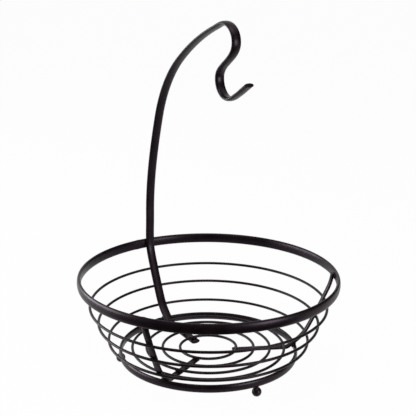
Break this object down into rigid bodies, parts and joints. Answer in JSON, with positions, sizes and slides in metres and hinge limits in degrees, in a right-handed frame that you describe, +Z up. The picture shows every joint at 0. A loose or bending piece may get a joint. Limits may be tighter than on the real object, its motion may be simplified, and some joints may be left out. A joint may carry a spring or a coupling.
{
  "type": "fruit basket with banana hanger",
  "caption": "Round open wire fruit bowl on ball feet, with a tall curved bar hanger that ends in an upturned hook for bananas.",
  "frame": {"origin": "on the table under the middle of the bowl, level with the flats under the ball feet", "axes": "+Z up along the bowl's axis, +Y towards the hanger's upright, which bends over the bowl towards -Y"},
  "size_m": [0.28, 0.28, 0.3711],
  "materials": {
    "rim_ring_coat": "satin powder coat, near-black with a warm tint, on steel bar",
    "base_ring_coat": "satin powder coat, near-black with a warm tint, on steel bar",
    "side_ring_lower_coat": "satin powder coat, near-black with a warm tint, on steel wire",
    "side_ring_middle_coat": "satin powder coat, near-black with a warm tint, on steel wire",
    "side_ring_upper_coat": "satin powder coat, near-black with a warm tint, on steel wire",
    "floor_ring_1_coat": "satin powder coat, near-black with a warm tint, on steel wire",
    "floor_ring_2_coat": "satin powder coat, near-black with a warm tint, on steel wire",
    "floor_ring_3_coat": "satin powder coat, near-black with a warm tint, on steel wire",
    "floor_ring_4_coat": "satin powder coat, near-black with a warm tint, on steel wire",
    "hanger_coat": "satin powder coat, near-black with a warm tint, on steel bar",
    "rib_left_coat": "satin powder coat, near-black with a warm tint, on steel bar",
    "rib_right_coat": "satin powder coat, near-black with a warm tint, on steel bar",
    "foot_front_coat": "satin powder coat, near-black with a warm tint, on a steel ball",
    "foot_left_coat": "satin powder coat, near-black with a warm tint, on a steel ball",
    "foot_right_coat": "satin powder coat, near-black with a warm tint, on a steel ball"
  },
  "bodies": {
    "root": {"rim_ring": "rim_ring_coat", "base_ring": "base_ring_coat", "side_ring_lower": "side_ring_lower_coat", "side_ring_middle": "side_ring_middle_coat", "side_ring_upper": "side_ring_upper_coat", "floor_ring_1": "floor_ring_1_coat", "floor_ring_2": "floor_ring_2_coat", "floor_ring_3": "floor_ring_3_coat", "floor_ring_4": "floor_ring_4_coat", "hanger": "hanger_coat", "rib_left": "rib_left_coat", "rib_right": "rib_right_coat", "foot_front": "foot_front_coat", "foot_left": "foot_left_coat", "foot_right": "foot_right_coat"}
  },
  "joints": []
}
